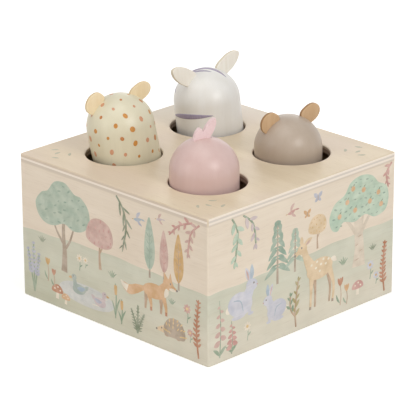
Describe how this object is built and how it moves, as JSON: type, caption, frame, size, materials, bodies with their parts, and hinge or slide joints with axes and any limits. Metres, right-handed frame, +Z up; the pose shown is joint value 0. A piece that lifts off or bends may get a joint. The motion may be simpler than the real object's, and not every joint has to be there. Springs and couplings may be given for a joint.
{
  "type": "pop up animal toy",
  "caption": "Square wooden box with loose domed animal heads that stand on coil springs in its round holes: press one down and it pops up again.",
  "frame": {"origin": "centre of the box's underside, on the plane it stands on", "axes": "+Z up; the box's sides are parallel to X and Y; the corner at +X -Y is its front corner, where the flamingo is, with the leopard at -X -Y, the bear at +X +Y and the zebra at -X +Y"},
  "size_m": [0.14, 0.14, 0.1173],
  "materials": {
    "printed_panel": "5 mm birch plywood, printed landscape under satin lacquer",
    "top_plywood": "4 mm birch plywood, satin lacquer, brown cut edges",
    "base_plywood": "4 mm birch plywood, raw",
    "inner_plywood": "4 mm plywood, raw",
    "corner_beech": "sawn beech, raw",
    "turned_beech": "turned beech, raw",
    "spring_steel": "drawn spring wire, bright",
    "zinc_screws": "zinc plated",
    "leopard_paint": "turned beech, cream stain with painted spots, satin",
    "leopard_ears": "2 mm plywood, satin",
    "zebra_paint": "turned beech, off-white stain with painted stripes, satin",
    "zebra_ears": "2 mm plywood, off-white, satin",
    "bear_paint": "turned beech, grey-brown stain, satin",
    "bear_ears": "2 mm plywood, light brown, satin",
    "flamingo_paint": "turned beech, dusty pink stain, satin",
    "crest_felt": "2.4 mm wool felt, pale pink"
  },
  "bodies": {
    "box": {"side_panel_front": "printed_panel", "side_panel_right": "printed_panel", "side_panel_back": "printed_panel", "side_panel_left": "printed_panel", "top_board": "top_plywood", "base_board": "base_plywood", "corner_block_front": "corner_beech", "corner_block_right": "corner_beech", "corner_block_back": "corner_beech", "corner_block_left": "corner_beech", "divider_along_x": "inner_plywood", "divider_along_y": "inner_plywood", "base_screws": "zinc_screws", "seat_screws": "zinc_screws", "leopard_spring_seat": "turned_beech", "leopard_spring": "spring_steel", "zebra_spring_seat": "turned_beech", "zebra_spring": "spring_steel", "bear_spring_seat": "turned_beech", "bear_spring": "spring_steel", "flamingo_spring_seat": "turned_beech", "flamingo_spring": "spring_steel"},
    "leopard_carrier": {"leopard_spring_cap": "turned_beech"},
    "leopard_animal": {"leopard_head": "leopard_paint", "leopard_ear_left": "leopard_ears", "leopard_ear_right": "leopard_ears"},
    "zebra_carrier": {"zebra_spring_cap": "turned_beech"},
    "zebra_animal": {"zebra_head": "zebra_paint", "zebra_ear_left": "zebra_ears", "zebra_ear_right": "zebra_ears"},
    "bear_carrier": {"bear_spring_cap": "turned_beech"},
    "bear_animal": {"bear_head": "bear_paint", "bear_ear_left": "bear_ears", "bear_ear_right": "bear_ears"},
    "flamingo_carrier": {"flamingo_spring_cap": "turned_beech"},
    "flamingo_animal": {"flamingo_head": "flamingo_paint", "flamingo_crest": "crest_felt"}
  },
  "joints": [
    {"name": "leopard_press", "type": "slide", "parent": "box", "child": "leopard_carrier", "axis": [0, 0, 1], "range_m": [-0.02, 0], "stiffness_N_per_m": 250, "springref_m": 0.0016, "deforming": ["leopard_spring"]},
    {"name": "leopard_lift_out", "type": "slide", "parent": "leopard_carrier", "child": "leopard_animal", "axis": [-0.1228, -0.1228, 0.9848], "range_m": [0, 0.09]},
    {"name": "zebra_press", "type": "slide", "parent": "box", "child": "zebra_carrier", "axis": [0, 0, 1], "range_m": [-0.02, 0], "stiffness_N_per_m": 250, "springref_m": 0.0016, "deforming": ["zebra_spring"]},
    {"name": "zebra_lift_out", "type": "slide", "parent": "zebra_carrier", "child": "zebra_animal", "axis": [-0.0702, -0.0702, 0.9951], "range_m": [0, 0.09]},
    {"name": "bear_press", "type": "slide", "parent": "box", "child": "bear_carrier", "axis": [0, 0, 1], "range_m": [-0.02, 0], "stiffness_N_per_m": 250, "springref_m": 0.0016, "deforming": ["bear_spring"]},
    {"name": "bear_lift_out", "type": "slide", "parent": "bear_carrier", "child": "bear_animal", "axis": [0, 0, 1], "range_m": [0, 0.09]},
    {"name": "flamingo_press", "type": "slide", "parent": "box", "child": "flamingo_carrier", "axis": [0, 0, 1], "range_m": [-0.02, 0], "stiffness_N_per_m": 250, "springref_m": 0.0016, "deforming": ["flamingo_spring"]},
    {"name": "flamingo_lift_out", "type": "slide", "parent": "flamingo_carrier", "child": "flamingo_animal", "axis": [0, 0, 1], "range_m": [0, 0.09]}
  ]
}
